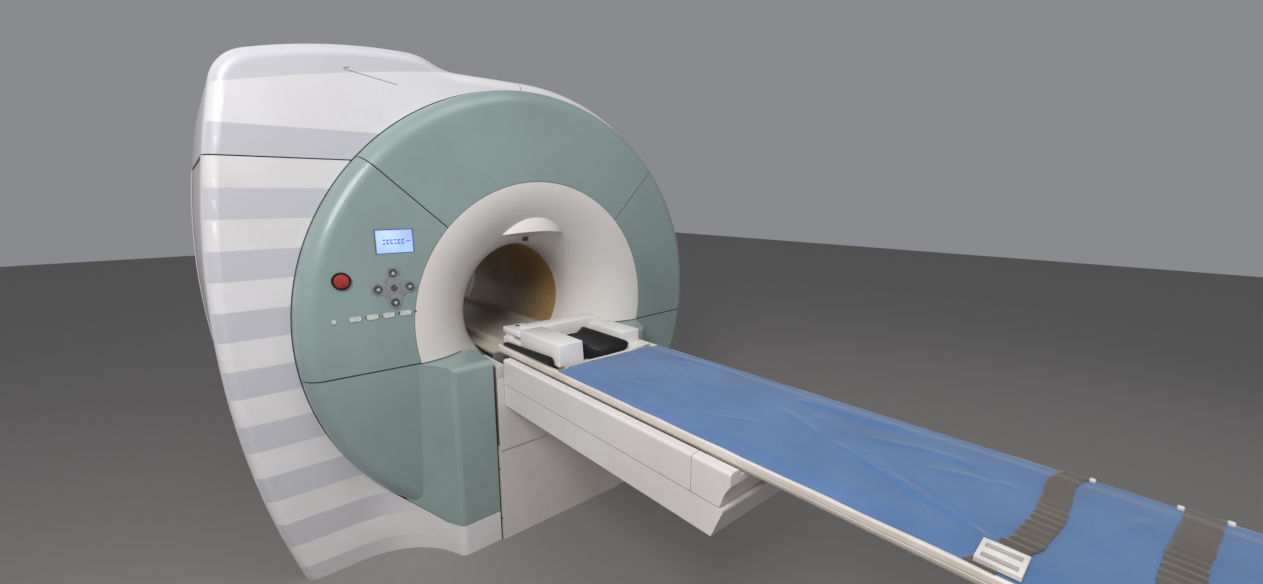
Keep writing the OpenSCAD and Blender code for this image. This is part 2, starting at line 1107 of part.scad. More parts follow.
// Lower cover of the beam, a trough open at the top.
module beam_trough() {
    zt = beam_seam - half_seam;
    color([0.89, 0.88, 0.88]) {
        difference() {
            intersection() {
                box(-beam_w, beam_w, fy(beam_y1), fy(beam_y0), trough_z, zt);
                rotate([90, 0, 90])
                    translate([0, 0, -400])
                        linear_extrude(800)
                            polygon([
                                [fy(beam_y0), trough_z], [fy(beam_y1 + 38), trough_z], [fy(beam_y1 + 2), zt - 7],
                                [fy(beam_y1 + 2), zt], [fy(beam_y0), zt]
                            ]);
            }
            difference() {
                box(-beam_w + wall, beam_w - wall, fy(beam_y1 + 45), fy(beam_y0 + 10), trough_z + wall, zt + 10);
                box(-beam_w, beam_w, fy(beam_y0 - wall), fy(beam_y0 + 12), trough_z - 4, zt - 6);
            }
        }
        for (s = [-1, 1])
            for (y = [-320, -1225])
                translate([s * (beam_w - 1), fy(y), beam_seam - 32])
                    rotate([0, s * 90, 0])
                        cylinder(r = 5, h = 2);
    }
}

// End cap of the beam: a hollow nose that curves back under the tabletop.
module beam_end_cap() {
    y0 = fy(beam_y1 - 20);
    y1 = fy(cap_y);
    z0 = beam_seam + half_seam;
    color([0.90, 0.89, 0.89])
    difference() {
        intersection() {
            box(-beam_w, beam_w, y0, y1, z0, cover_z);
            rotate([90, 0, 90])
                translate([0, 0, -400])
                    linear_extrude(800)
                        difference() {
                            polygon([
                                [y1, z0], [fy(beam_y1 + 14), z0], [y0, z0 + 72], [y0, cover_z], [y1, cover_z]
                            ]);
                            translate([y0 - 92, z0 - 8])
                                circle(121);
                        }
            slab(y0 - 10, y1 + 1) {
                translate([-beam_w, z0])
                    square([2 * beam_w, cover_z - 10 - z0]);
                translate([-beam_w + 10, 800])
                    square([2 * beam_w - 20, cover_z - 800]);
                for (s = [-1, 1])
                    translate([s * (beam_w - 10), cover_z - 10])
                        circle(10);
            }
        }
        box(-lip_x, lip_x, y0 - 10, y1 + 1, 819, 900);
        box(-beam_w + wall, beam_w - wall, fy(beam_y1 + 34), y1 + 1, z0 - 8, 814);
        for (s = [0, 1])
            mirror([s, 0, 0])
                box(lip_x + wall, beam_w - wall, fy(beam_y1 + 34), y1 + 1, z0 - 8, cover_z - wall);
    }
}

module slide_motor() {
    color([0.25, 0.26, 0.28])
    difference() {
        union() {
            box(-90, -30, fy(wheel_y - 35), fy(wheel_y + 35), 735, 788);
            translate([-90, fy(wheel_y), 758])
                rotate([0, -90, 0])
                    cylinder(r = 27, h = 110);
        }
        translate([-70, fy(wheel_y), wheel_z])
            rotate([0, 90, 0])
                cylinder(r = 8 + run_gap, h = 60);
    }
}

// Friction wheel under the tabletop, with its shaft in the gearbox.
module drive_wheel() {
    color([0.12, 0.12, 0.12])
    translate([0, fy(wheel_y), wheel_z]) {
        rotate([0, 90, 0])
            translate([0, 0, -18])
                cylinder(r = wheel_r, h = 36);
        translate([-66, 0, 0])
            rotate([0, 90, 0])
                cylinder(r = 8, h = 60);
    }
}

module bore_bridge() {
    color([0.80, 0.79, 0.76])
    intersection() {
        union() {
            box(-300, 300, fy(-42), rear_y - 60, 770, 800);
            for (s = [-1, 1])
                box(s * rail_x - 15, s * rail_x + 15, fy(-42), rear_y - 60, 799, rail_z);
        }
        disc_y(0, bore_h, bore_r - 0.3, fy(-100), rear_y);
    }
}

// Half section of the tabletop, x >= 0.
module top_2d() {
    difference() {
        union() {
            polygon([
                [-1, 828], [250, 828], [259, 831], [top_w - 4, 838], [top_w - 1, 846], [top_w, 852], [top_w, 861],
                [262, 867], [252, 867], [244, 863], [238, 854], [228, 846], [216, deck_z], [-1, deck_z]
            ]);
            translate([262, 861])
                circle(6);
            translate([rail_x - 24, 820])
                square([48, 9]);
        }
        translate([rail_x - 15 - runner_gap, 810])
            square([30 + 2 * runner_gap, 16.5]);
        translate([top_w + 1, 848])
            circle(3);
    }
}

module tabletop() {
    color([0.90, 0.88, 0.86])
    difference() {
        slab(fy(foot_y), fy(head_y)) {
            top_2d();
            mirror([1, 0])
                top_2d();
        }
        for (s = [-1, 1])
            for (y = [head_y, foot_y])
                translate([s * top_w, fy(y), 810])
                    rotate([0, 0, 45])
                        cube([30, 30, 140], center = true);
    }
}

// Mattress in the trough of the tabletop.
pad_y0 = foot_y + 12;
pad_y1 = -628;
module mattress() {
    color([0.75, 0.76, 0.78])
    box(-206, 206, fy(pad_y0), fy(pad_y1), deck_z + 0.3, 872.7);
}

// Sheet laid over the mattress and turned down at its sides.
module sheet() {
    color([0.37, 0.51, 0.71])
    slab(fy(pad_y0), fy(pad_y1 + 2))
        polygon([
            [-236, 866.5], [-214, 868.5], [-208, 873], [208, 873], [214, 868.5], [236, 866.5],
            [236, 868.5], [216, 870.5], [209, 875], [-209, 875], [-216, 870.5], [-236, 868.5]
        ]);
}

// Head coil base: a low tray, two shoulder blocks and a head block with a hollow for the head pad.
module coil_base() {
    color([0.92, 0.91, 0.90])
    difference() {
        union() {
            box(-208, 208, fy(-602), fy(-150), deck_z + 0.3, 872);
            translate([0, 0, 868.5])
                linear_extrude(20)
                    union() {
                        translate([-238, fy(-590)])
                            square([476, 400]);
                        for (s = [-1, 1])
                            translate([s * 198, fy(-190)])
                                circle(40);
                        translate([-198, fy(-190)])
                            square([396, 40]);
                    }
            for (s = [-1, 1])
                box(s * 155 - 35, s * 155 + 35, fy(-585), fy(-300), 880, 940);
            for (s = [-1, 1])
                box(s * 160 - 30, s * 160 + 30, fy(-320), fy(-180), 880, 925);
            box(-150, 150, fy(-300), fy(-165), 880, 925);
            box(-190, 190, fy(-300), fy(-215), 915, 950);
        }
        disc_y(0, 1010, 140, fy(-620), fy(-290));
        translate([0, fy(-285), 1010])
            sphere(r = 140);
        translate([-150, fy(-200), 900])
            cylinder(r = 7, h = 60);
        box(-120, 120, fy(-290), fy(-150), 889, 900);
    }
}

// Wedge-shaped side cushion that stands on the tabletop's rim beside the coil base.
module side_pad() {
    color([0.04, 0.04, 0.04])
    translate([-258, 0, 0])
        rotate([90, 0, 90])
            linear_extrude(19)
                polygon([
                    [fy(-580), 867.3], [fy(-175), 867.3], [fy(-170), 871], [fy(-240), 885], [fy(-570), 899],
                    [fy(-580), 892]
                ]);
}

// Curved cushion in the hollow of the coil base.
module head_pad() {
    color([0.03, 0.03, 0.03])
    intersection() {
        difference() {
            disc_y(0, 1010, 139.6, fy(-598), fy(-300));
            disc_y(0, 1010, 118, fy(-620), fy(-280));
        }
        box(-118, 118, fy(-598), fy(-300), 860, 934);
    }
}

// Strap over the sheet, wrapped down to the rails: width w centred on y.
module strap(y, w) {
    color([0.50, 0.46, 0.40])
    translate([0, fy(y) + w / 2, 0])
        rotate([90, 0, 0])
            linear_extrude(w)
                polygon([
                    [-262, 867.6], [-238, 869.6], [-209, 876], [209, 876], [238, 869.6], [262, 867.6],
                    [262, 870.2], [239, 872.2], [210, 878.6], [-210, 878.6], [-239, 872.2], [-262, 870.2]
                ]);
}

module strap_front() {
    strap(-2010, 60);
}

module strap_rear() {
    strap(-2275, 75);
}

module buckle(y) {
    color([0.90, 0.89, 0.87])
    translate([-226, fy(y), 876.5])
        rotate([0, -9, 0])
            difference() {
                translate([-30, -36, 0])
                    cube([60, 72, 10]);
                for (x = [-14, 14])
                    translate([x - 6, -28, -1])
                        cube([12, 56, 20]);
            }
}

module buckle_front() {
    buckle(-2010);
}

module buckle_rear() {
    buckle(-2275);
}

base_frame();
vacuum_vessel();
cold_mass();
cold_head();
gradient_coil();
bore_liner();
front_funnel();
position_laser();
ring_cover_top();
ring_cover_left();
ring_cover_right();
nose_left();
nose_right();
side_panel_left();
side_cover_left();
top_cover();
right_shell();
rear_cover();
display_window();
stop_collar();
pad_plate();
dock_cover();
lower_apron();
guide_column_left();
guide_column_right();
lift_actuator_left();
lift_actuator_right();
bore_bridge();
stop_button();
pad_key_up();
pad_key_down();
pad_key_left();
pad_key_right();
pad_key_centre();
row_key_1();
row_key_2();
row_key_3();
row_key_4();
row_key_5();
lift_carriage();
lift_rod_left();
lift_rod_right();
upper_apron();
beam_frame();
beam_side_left();
beam_side_right();
beam_trough();
beam_end_cap();
slide_motor();
drive_wheel();
tabletop();
coil_base();
side_pad();
head_pad();
mattress();
sheet();
strap_front();
strap_rear();
buckle_front();
buckle_rear();
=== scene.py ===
import json
import math

import bmesh
import bpy
from mathutils import Matrix, Vector, noise


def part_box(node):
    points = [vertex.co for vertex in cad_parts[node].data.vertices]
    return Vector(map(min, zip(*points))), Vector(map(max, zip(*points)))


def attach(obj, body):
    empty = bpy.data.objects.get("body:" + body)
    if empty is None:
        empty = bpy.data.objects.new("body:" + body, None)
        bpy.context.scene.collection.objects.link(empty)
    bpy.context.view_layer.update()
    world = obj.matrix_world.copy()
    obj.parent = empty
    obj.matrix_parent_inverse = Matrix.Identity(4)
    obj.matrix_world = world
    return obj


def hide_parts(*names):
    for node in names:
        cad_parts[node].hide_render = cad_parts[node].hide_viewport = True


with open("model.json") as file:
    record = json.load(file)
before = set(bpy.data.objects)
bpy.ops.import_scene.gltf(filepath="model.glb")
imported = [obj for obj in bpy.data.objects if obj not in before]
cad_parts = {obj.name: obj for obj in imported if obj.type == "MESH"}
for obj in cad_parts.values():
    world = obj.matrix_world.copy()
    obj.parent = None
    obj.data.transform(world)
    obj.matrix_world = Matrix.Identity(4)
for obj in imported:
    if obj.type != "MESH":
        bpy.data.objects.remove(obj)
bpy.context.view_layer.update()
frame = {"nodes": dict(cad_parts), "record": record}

# Lengths are in metres. FRONT is the row Y of the plane of the front panels, BORE_H is the height of the
# tunnel's axis.
FRONT = -0.750
BORE_H = 0.975


def fy(v):
    """Row Y of a point v metres behind the plane of the front panels."""
    return FRONT + v


# Camera at the photograph's viewpoint, from its solved place, angles (radians) and focal length in pixels.

YAW, PITCH, ROLL, FOCAL_PX = 0.7185, 0.188, 0.001, 511.31
CAMERA_PLACE = (-1.2554, -2.9326, 1.5184)
FRAME_PX = 1263.0
SENSOR_MM = 36.0


def add_camera():
    """Camera with its axes turned by yaw, pitch and roll."""
    cam = bpy.data.cameras.new("camera")
    cam.sensor_fit = "HORIZONTAL"
    cam.sensor_width = SENSOR_MM
    cam.lens = SENSOR_MM * FOCAL_PX / FRAME_PX
    cam.clip_start = 0.05
    cam.clip_end = 60
    obj = bpy.data.objects.new("camera", cam)
    f = Vector((math.sin(YAW) * math.cos(PITCH), math.cos(YAW) * math.cos(PITCH), -math.sin(PITCH)))
    r = Vector((math.cos(YAW), -math.sin(YAW), 0))
    u = r.cross(f)
    r2 = math.cos(ROLL) * r + math.sin(ROLL) * u
    u2 = -math.sin(ROLL) * r + math.cos(ROLL) * u
    m = Matrix((r2, u2, -f)).transposed().to_4x4()
    m.translation = Vector(CAMERA_PLACE)
    obj.matrix_world = m
    bpy.context.scene.collection.objects.link(obj)
    bpy.context.scene.camera = obj


add_camera()

# Node materials.


def srgb(r, g, b):
    """Linear colour of an sRGB colour given in 0..255."""
    out = []
    for v in (r, g, b):
        v = v / 255.0
        out.append(v / 12.92 if v <= 0.04045 else ((v + 0.055) / 1.055) ** 2.4)
    return (*out, 1.0)


class Mat:
    """Small builder for a node material around one Principled shader."""

    def __init__(self, name, rough=0.5, metallic=0.0, spec=0.5, coat=0.0, coat_rough=0.1, sheen=0.0):
        self.mat = bpy.data.materials.new(name)
        self.mat.use_nodes = True
        self.nt = self.mat.node_tree
        self.bsdf = self.nt.nodes["Principled BSDF"]
        self.bsdf.inputs["Roughness"].default_value = rough
        self.bsdf.inputs["Metallic"].default_value = metallic
        self.bsdf.inputs["Specular IOR Level"].default_value = spec
        self.bsdf.inputs["Coat Weight"].default_value = coat
        self.bsdf.inputs["Coat Roughness"].default_value = coat_rough
        self.bsdf.inputs["Sheen Weight"].default_value = sheen
        self.coord = self.nt.nodes.new("ShaderNodeNewGeometry").outputs["Position"]

    def node(self, kind, **props):
        n = self.nt.nodes.new(kind)
        for k, v in props.items():
            setattr(n, k, v)
        return n

    def link(self, a, b):
        self.nt.links.new(a, b)

    def put(self, socket, value):
        if hasattr(value, "links"):
            self.link(value, socket)
        else:
            socket.default_value = value

    def scaled(self, sx, sy, sz):
        n = self.node("ShaderNodeVectorMath", operation="MULTIPLY")
        self.link(self.coord, n.inputs[0])
        n.inputs[1].default_value = (sx, sy, sz)
        return n.outputs[0]

    def noise(self, scale, detail=3.0, rough=0.5, vec=None):
        n = self.node("ShaderNodeTexNoise")
        n.inputs["Scale"].default_value = scale
        n.inputs["Detail"].default_value = detail
        n.inputs["Roughness"].default_value = rough
        self.link(vec if vec is not None else self.coord, n.inputs["Vector"])
        return n.outputs["Fac"]

    def math(self, op, a, b=0.0, clamp=False):
        n = self.node("ShaderNodeMath", operation=op)
        n.use_clamp = clamp
        self.put(n.inputs[0], a)
        self.put(n.inputs[1], b)
        return n.outputs[0]

    def ramp(self, fac, lo, hi, a=0.0, b=1.0):
        n = self.node("ShaderNodeMapRange")
        n.clamp = True
        self.put(n.inputs["Value"], fac)
        n.inputs["From Min"].default_value = lo
        n.inputs["From Max"].default_value = hi
        n.inputs["To Min"].default_value = a
        n.inputs["To Max"].default_value = b
        return n.outputs["Result"]

    def mix(self, fac, a, b):
        n = self.node("ShaderNodeMix", data_type="RGBA")
        self.put(n.inputs[0], fac)
        self.put(n.inputs[6], a)
        self.put(n.inputs[7], b)
        return n.outputs[2]

    def xyz(self):
        n = self.node("ShaderNodeSeparateXYZ")
        self.link(self.coord, n.inputs[0])
        return n.outputs

    def color(self, value):
        self.put(self.bsdf.inputs["Base Color"], value)

    def rough(self, value):
        self.put(self.bsdf.inputs["Roughness"], value)

    def bump(self, height, strength=0.2, distance=0.001, edge=0.0):
        n = self.node("ShaderNodeBump")
        n.inputs["Strength"].default_value = strength
        n.inputs["Distance"].default_value = distance
        self.link(height, n.inputs["Height"])
        if edge:
            bev = self.node("ShaderNodeBevel")
            bev.samples = 4
            bev.inputs["Radius"].default_value = edge
            self.link(bev.outputs["Normal"], n.inputs["Normal"])
        self.link(n.outputs["Normal"], self.bsdf.inputs["Normal"])


def painted(name, base, dirt_and_shade, rough=0.38, fine=420.0, dirt_scale=2.2, amount=0.35, low_shade=0.0, coat=0.0,
            bump=0.12, edge=0.0015):
    """Moulded or painted cover: soft tone drift, painted shade that darkens it towards the bottom, and a
    fine bump.
    """
    m = Mat(name, rough=rough, coat=coat)
    drift = m.noise(dirt_scale, 5.0, 0.6)
    spots = m.noise(34.0, 4.0, 0.65)
    fac = m.math("MULTIPLY", m.ramp(drift, 0.42, 0.75), amount)
    col = m.mix(fac, base, dirt_and_shade)
    speck = m.math("MULTIPLY", m.ramp(spots, 0.66, 0.76), 0.22)
    col = m.mix(speck, col, dirt_and_shade)
    # Painted shade: the colour darkens towards the bottom, in blotches of the drift noise.
    if low_shade:
        z = m.xyz()[2]
        low_shade_mask = m.math("MULTIPLY", m.ramp(z, 0.42, 0.0), m.ramp(drift, 0.25, 0.7))
        col = m.mix(m.math("MULTIPLY", low_shade_mask, low_shade), col, dirt_and_shade)
    m.color(col)
    m.rough(m.ramp(drift, 0.3, 0.75, rough - 0.06, rough + 0.1))
    m.bump(m.noise(fine, 2.0, 0.5), bump, 0.0004, edge)
    return m


def fabric(name, base, dark, scale=900.0, rough=0.85, sheen=0.25, streak=0.25):
    """Woven cloth: crossed threads in the bump and a soft mottling of tone."""
    m = Mat(name, rough=rough, spec=0.25, sheen=sheen)
    warp = m.node("ShaderNodeTexWave", wave_type="BANDS", bands_direction="X")
    warp.inputs["Scale"].default_value = scale
    m.link(m.coord, warp.inputs["Vector"])
    weft = m.node("ShaderNodeTexWave", wave_type="BANDS", bands_direction="Y")
    weft.inputs["Scale"].default_value = scale
    m.link(m.coord, weft.inputs["Vector"])
    weave = m.math("MULTIPLY", warp.outputs["Fac"], weft.outputs["Fac"])
    mottle = m.noise(5.0, 5.0, 0.6)
    fac = m.math("MULTIPLY", m.ramp(mottle, 0.35, 0.7), streak)
    m.color(m.mix(fac, base, dark))
    m.bump(weave, 0.25, 0.0004)
    return m


MATS = {}

# Painted and moulded finishes: colour, colour of the grime and the painted shade, and what differs from the
# plain finish.
PAINTED = {
    "ring_green": ((143, 162, 159), (119, 136, 132),
                   dict(rough=0.36, fine=600, amount=0.5, coat=0.28, bump=0.06, low_shade=0.5)),
    "funnel_white": ((230, 225, 221), (206, 196, 188),
                     dict(rough=0.33, fine=500, amount=0.3, coat=0.1, bump=0.05)),
    "table_white": ((225, 220, 218), (190, 178, 168),
                    dict(rough=0.36, low_shade=0.5, bump=0.06, edge=0.002)),
    "apron_white": ((214, 208, 206), (178, 165, 155),
                    dict(rough=0.42, amount=0.4, low_shade=0.6, bump=0.08)),
    "tabletop_white": ((226, 218, 210), (188, 170, 150),
                       dict(rough=0.33, amount=0.6, dirt_scale=6.0, bump=0.05)),
    "coil_white": ((232, 229, 226), (200, 194, 186), dict(rough=0.3, amount=0.3, bump=0.05, edge=0.004)),
    "bridge_white": ((196, 190, 178), (150, 140, 124), dict(rough=0.4)),
    "buckle_white": ((226, 222, 216), (170, 160, 148),
                     dict(rough=0.35, amount=0.5, dirt_scale=20.0, edge=0.001)),
}

# Metals and the resin inside: two tones, metallic share and roughness.
METALS = {
    "dark_steel": ((76, 78, 82), (52, 54, 58), 0.2, 0.5),
    "vessel_steel": ((190, 192, 194), (160, 162, 166), 0.9, 0.35),
    "cold_steel": ((176, 178, 182), (150, 152, 156), 0.9, 0.4),
    "bright_steel": ((205, 207, 210), (180, 182, 186), 1.0, 0.15),
    "frame_alloy": ((172, 174, 178), (140, 142, 146), 0.8, 0.4),
    "potted_resin": ((176, 146, 92), (140, 112, 66), 0.0, 0.5),
}

# Small moulded parts: two tones and roughness.
PLASTICS = {
    "key_grey": ((150, 152, 152), (120, 122, 122), 0.45),
    "key_dark": ((92, 96, 98), (66, 70, 72), 0.4),
    "key_light": ((214, 219, 215), (182, 188, 184), 0.38),
    "black_plastic": ((30, 30, 31), (20, 20, 21), 0.4),
    "wheel_rubber": ((28, 28, 28), (18, 18, 18), 0.8),
    "mark_dark": ((44, 54, 52), (32, 40, 38), 0.5),
    "lcd_mark": ((70, 96, 190), (60, 84, 170), 0.4),
    "screw_grey": ((120, 120, 122), (90, 90, 92), 0.35),
}

# Cloths: two tones and what differs from the plain weave.
FABRICS = {
    "sheet_blue": ((88, 124, 172), (66, 98, 142), dict(scale=700.0, rough=0.8, sheen=0.3, streak=0.55)),
    "strap_brown": ((102, 93, 84), (72, 65, 58), dict(scale=420.0, rough=0.85, sheen=0.3, streak=0.6)),
    "pad_black": ((20, 20, 21), (12, 12, 13), dict(scale=800.0, rough=0.75, sheen=0.1, streak=0.5)),
    "mattress_grey": ((188, 190, 194), (158, 160, 164), dict(scale=600.0, rough=0.7, streak=0.5)),
}

# Grey stripes of the front panels: lower edge of the top one, height of a stripe and of the white under it,
# and upper edge of the top one. Above them the top cover has a fainter band. Its lower edge starts at height
# BAND_Z at x = BAND_X, and rises and bows towards the middle. STRIPE_SOFT is half the width of a soft edge.
STRIPE_Z, STRIPE_STEP, STRIPE_TOP = 1.645, 0.105, 1.750
BAND_X, BAND_Z, BAND_RISE, BAND_BOW, BAND_SHARE = -1.081, 1.884, 0.235, -0.078, 0.75
STRIPE_SOFT = 0.0015

# Scratches of the top cover: two ends in X and Z, and half the width.
SCRATCHES = (
    ((-0.740, 1.968), (-0.555, 1.937), 0.0022),
    ((-0.742, 1.972), (-0.722, 1.976), 0.003),
)

# Display: its middle in X and Z, and half its lit size.
LCD = (-0.648, 1.342)
LCD_HALF = (0.070, 0.046)


def stripes(m, x, y, z):
    """Share of grey at a point: level stripes on the flat front panels, and one band on the top cover."""
    band = m.math("DIVIDE", m.math("SUBTRACT", STRIPE_Z, z), STRIPE_STEP)
    wave = m.math("MODULO", m.math("ADD", band, 40.0), 2.0)
    tri = m.math("ABSOLUTE", m.math("SUBTRACT", wave, 1.5))
    mask = m.ramp(tri, 0.515, 0.485)
    upper = m.ramp(z, STRIPE_TOP - STRIPE_SOFT, STRIPE_TOP + STRIPE_SOFT)
    mask = m.math("MULTIPLY", mask, m.math("SUBTRACT", 1.0, upper))
    along = m.math("ADD", x, -BAND_X)
    lift = m.math("ADD", BAND_Z, m.math("MULTIPLY", along, BAND_RISE))
    bow = m.math("MULTIPLY", m.math("POWER", m.math("ADD", x, -BAND_X, clamp=True), 2.0), BAND_BOW)
    top = m.ramp(m.math("SUBTRACT", z, m.math("ADD", lift, bow)), -STRIPE_SOFT, STRIPE_SOFT)
    mask = m.math("MAXIMUM", mask, m.math("MULTIPLY", top, BAND_SHARE))
    front = m.ramp(y, FRONT + 0.030, FRONT + 0.012)
    mask = m.math("MULTIPLY", mask, front)
    fade = m.math("MAXIMUM", m.ramp(x, -0.60, -0.82), m.ramp(z, 1.0, 1.05))
    return m.math("MULTIPLY", mask, fade)


def scratch(m, x, z, start, end, half):
    """Share of a scratch at a point."""
    (x0, z0), (x1, z1) = start, end
    dx, dz = x1 - x0, z1 - z0
    ln = math.hypot(dx, dz)
    from_x, from_z = m.math("SUBTRACT", x, x0), m.math("SUBTRACT", z, z0)
    along = m.math("ADD", m.math("MULTIPLY", from_x, dx / ln), m.math("MULTIPLY", from_z, dz / ln))
    across = m.math("SUBTRACT", m.math("MULTIPLY", from_x, -dz / ln), m.math("MULTIPLY", from_z, -dx / ln))
    inside = m.math("MULTIPLY", m.ramp(along, -0.001, 0.001), m.ramp(along, ln + 0.001, ln - 0.001))
    line = m.ramp(m.math("ABSOLUTE", across), half, half * 0.4)
    return m.math("MULTIPLY", m.math("MULTIPLY", inside, line), 0.75)


def cover(name, striped):
    """White cover, with the grey stripes and scratches where it is one of the front panels."""
    m = Mat(name, rough=0.4)
    dirt_and_shade = srgb(178, 168, 154)
    drift = m.noise(1.7, 5.0, 0.6)
    col = m.mix(m.math("MULTIPLY", m.ramp(drift, 0.4, 0.8), 0.35), srgb(226, 224, 226), dirt_and_shade)
    x, y, z = m.xyz()
    if striped:
        col = m.mix(stripes(m, x, y, z), col, srgb(196, 195, 201))
        for start, end, half in SCRATCHES:
            col = m.mix(scratch(m, x, z, start, end, half), col, srgb(92, 82, 76))
    # Painted shade: the cover darkens towards the bottom, in blotches of the drift noise.
    low_shade_mask = m.math("MULTIPLY", m.ramp(z, 0.5, 0.0), m.ramp(drift, 0.2, 0.7))
    m.color(m.mix(m.math("MULTIPLY", low_shade_mask, 0.45), col, dirt_and_shade))
    m.rough(m.ramp(drift, 0.3, 0.75, 0.34, 0.48))
    m.bump(m.noise(500.0, 2.0), 0.08, 0.0004, 0.002)
    return m


def display():
    """Lit display: a blue glow inside a bare dark frame."""
    m = Mat("display_blue", rough=0.12, coat=0.5)
    x, y, z = m.xyz()
    ex = m.math("DIVIDE", m.math("ABSOLUTE", m.math("SUBTRACT", x, LCD[0])), LCD_HALF[0])
    ez = m.math("DIVIDE", m.math("ABSOLUTE", m.math("SUBTRACT", z, LCD[1])), LCD_HALF[1])
    edge = m.ramp(m.math("MAXIMUM", ex, ez), 0.90, 0.97)
    glow = m.mix(m.ramp(m.noise(9.0, 2.0), 0.3, 0.7), srgb(126, 146, 240), srgb(160, 184, 252))
    m.color(m.mix(edge, glow, srgb(70, 84, 120)))
    m.link(m.mix(edge, glow, srgb(20, 24, 40)), m.bsdf.inputs["Emission Color"])
    m.bsdf.inputs["Emission Strength"].default_value = 0.85
    return m


def two_tone(m, tones, scale, detail=3.0, vec=None):
    """Colours a material with two tones mixed by noise."""
    fac = m.ramp(m.noise(scale, detail, 0.6, vec=vec), 0.35, 0.7)
    m.color(m.mix(fac, srgb(*tones[0]), srgb(*tones[1])))


def make_materials():
    """Fills MATS with every material by its name."""
    for name, (base, dirt_and_shade, finish) in PAINTED.items():
        MATS[name] = painted(name, srgb(*base), srgb(*dirt_and_shade), **finish).mat
    for name, (base, dark, weave) in FABRICS.items():
        MATS[name] = fabric(name, srgb(*base), srgb(*dark), **weave).mat
    for name, striped in (("cover_striped", True), ("cover_plain", False)):
        MATS[name] = cover(name, striped).mat
    MATS["display_blue"] = display().mat

    for name, (light, dark, metallic, rough) in METALS.items():
        m = Mat(name, rough=rough, metallic=metallic)
        two_tone(m, (light, dark), 12.0, 4.0, vec=m.scaled(1, 0.15, 1))
        m.bump(m.noise(300.0, 2.0), 0.1, 0.0005, 0.001)
        MATS[name] = m.mat

    for name, (light, dark, rough) in PLASTICS.items():
        m = Mat(name, rough=rough)
        two_tone(m, (light, dark), 80.0)
        m.bump(m.noise(900.0, 2.0), 0.15, 0.0003, 0.0008)
        MATS[name] = m.mat

    m = Mat("tunnel_lining", rough=0.34, coat=0.12, coat_rough=0.15)
    two_tone(m, ((188, 156, 106), (156, 124, 80)), 3.0, 4.0)
    m.bump(m.noise(60.0, 3.0), 0.05, 0.001)
    MATS["tunnel_lining"] = m.mat

    m = Mat("stop_red", rough=0.3, coat=0.4)
    two_tone(m, ((178, 56, 46), (140, 40, 34)), 30.0)
    m.bump(m.noise(400.0, 2.0), 0.08, 0.0004)
    MATS["stop_red"] = m.mat

    m = Mat("amber_lens", rough=0.15, coat=0.6)
    two_tone(m, ((120, 84, 48), (86, 58, 30)), 90.0)
    MATS["amber_lens"] = m.mat


make_materials()

# CAD nodes whose material in the render isn't named after their slot.
PLAIN = {"side_cover_left": "cover_plain", "right_shell": "cover_plain", "rear_cover": "cover_plain",
         "side_panel_left": "cover_striped", "top_cover": "cover_striped",
         "lower_apron": "apron_white", "upper_apron": "apron_white", "dock_cover": "apron_white"}


def dress_cad():
    """Gives every CAD node the material of its slot and shades its round faces smooth."""
    slots = {s["node"]: s["material_slot"] for s in frame["record"]["subparts"]}
    for name, obj in frame["nodes"].items():
        obj.data.materials.clear()
        obj.data.materials.append(MATS[PLAIN.get(name, slots[name])])
        shade(obj, angle=30)


def shade(obj, angle):
    """Smooth shading with edges sharper than the angle (degrees) kept sharp."""
    mesh = obj.data
    bm = bmesh.new()
    bm.from_mesh(mesh)
    limit = math.radians(angle)
    flags = {}
    for e in bm.edges:
        sharp = len(e.link_faces) != 2 or e.calc_face_angle(0.0) > limit
        flags[e.index] = sharp
    bm.free()
    for p in mesh.polygons:
        p.use_smooth = True
    for e in mesh.edges:
        e.use_edge_sharp = flags.get(e.index, False)


dress_cad()

# Meshes.


def linked(name, mesh, mat, smooth=True):
    """A new object in the scene from a mesh and one material."""
    obj = bpy.data.objects.new(name, mesh)
    bpy.context.scene.collection.objects.link(obj)
    mesh.materials.append(MATS[mat])
    for p in mesh.polygons:
        p.use_smooth = smooth
    return obj


def mesh_object(name, verts, faces, mat, smooth=True):
    """A new object in the scene from points, faces and one material."""
    mesh = bpy.data.meshes.new(name)
    mesh.from_pydata([tuple(v) for v in verts], [], faces)
    mesh.validate()
    mesh.update()
    return linked(name, mesh, mat, smooth)


def grid_faces(nu, nv):
    """Quads of a grid of nu rows with nv points each."""
    return [(i * nv + j, i * nv + j + 1, (i + 1) * nv + j + 1, (i + 1) * nv + j)
            for i in range(nu - 1) for j in range(nv - 1)]


def apply_modifiers(obj):
    """Turns an object's modifiers into its mesh."""
    bpy.context.view_layer.objects.active = obj
    for o in bpy.context.selected_objects:
        o.select_set(False)
    obj.select_set(True)
    for m in list(obj.modifiers):
        bpy.ops.object.modifier_apply(modifier=m.name)


# Soft goods on the tabletop.

# Sheet: its two ends, half its width, height of its top and its thickness. Mattress: half its width, and the
# heights of its underside and top.
SHEET_Y0, SHEET_Y1 = fy(-2.578), fy(-0.626)
SHEET_HALF = 0.260
SHEET_TOP, SHEET_THICK = 0.8743, 0.0009
MATTRESS_HALF, MATTRESS_Z0, MATTRESS_Z1 = 0.206, 0.8424, 0.8724
# Least heights of the sheet over the mattress and over the rims of the tabletop.
OVER_MATTRESS, OVER_RIM = 0.8728, 0.8680
# The sheet's sides fall from this distance off the middle, by this much over this width.
SIDE_START, SIDE_FALL, SIDE_WIDTH = 0.196, 0.0060, 0.048
# Heights of its long and short waves, depth of a strap's press, and how far its long edges stray.
WAVE_LONG, WAVE_SHORT, STRAP_PRESS, EDGE_STRAY = 0.0022, 0.0008, 0.0016, 0.0035
# The foot end of the sheet turns down within this length of its end, by this much.
TURN_LEN, TURN_DROP = 0.020, 0.021
